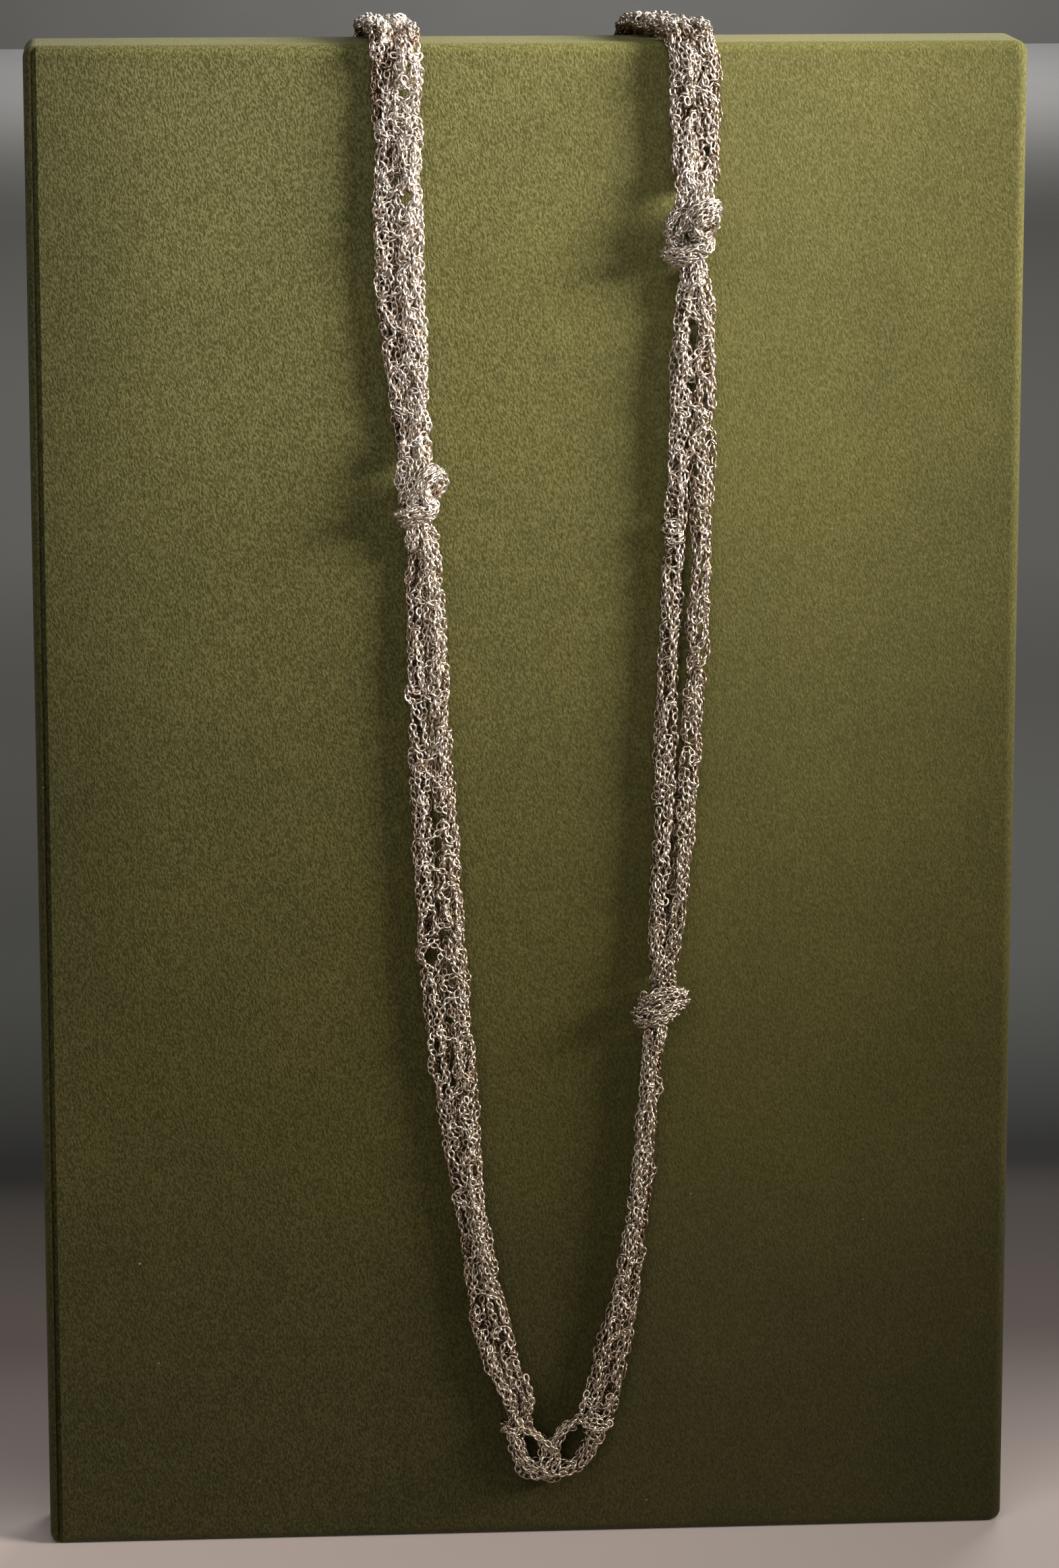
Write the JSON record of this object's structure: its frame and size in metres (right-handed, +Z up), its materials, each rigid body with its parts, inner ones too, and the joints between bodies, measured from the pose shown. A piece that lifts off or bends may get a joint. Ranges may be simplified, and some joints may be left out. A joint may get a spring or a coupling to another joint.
{
  "type": "chain necklace on display board",
  "caption": "Long knotted necklace of knitted fine silver chain, draped in a V over an upright velvet-covered display board.",
  "frame": {"origin": "centre of the board's underside, on the surface that it stands on", "axes": "+Z up the board, -Y out of its front, +X to the right seen from the front"},
  "size_m": [0.202, 0.0366, 0.3189],
  "materials": {
    "velvet_board": "soft short-pile velvet",
    "silver_chain": "polished silver"
  },
  "bodies": {
    "root": {"display_board": "velvet_board", "band_front": "silver_chain", "band_back": "silver_chain", "knot_left": "silver_chain", "knot_right_upper": "silver_chain", "knot_right_lower": "silver_chain"}
  },
  "joints": []
}
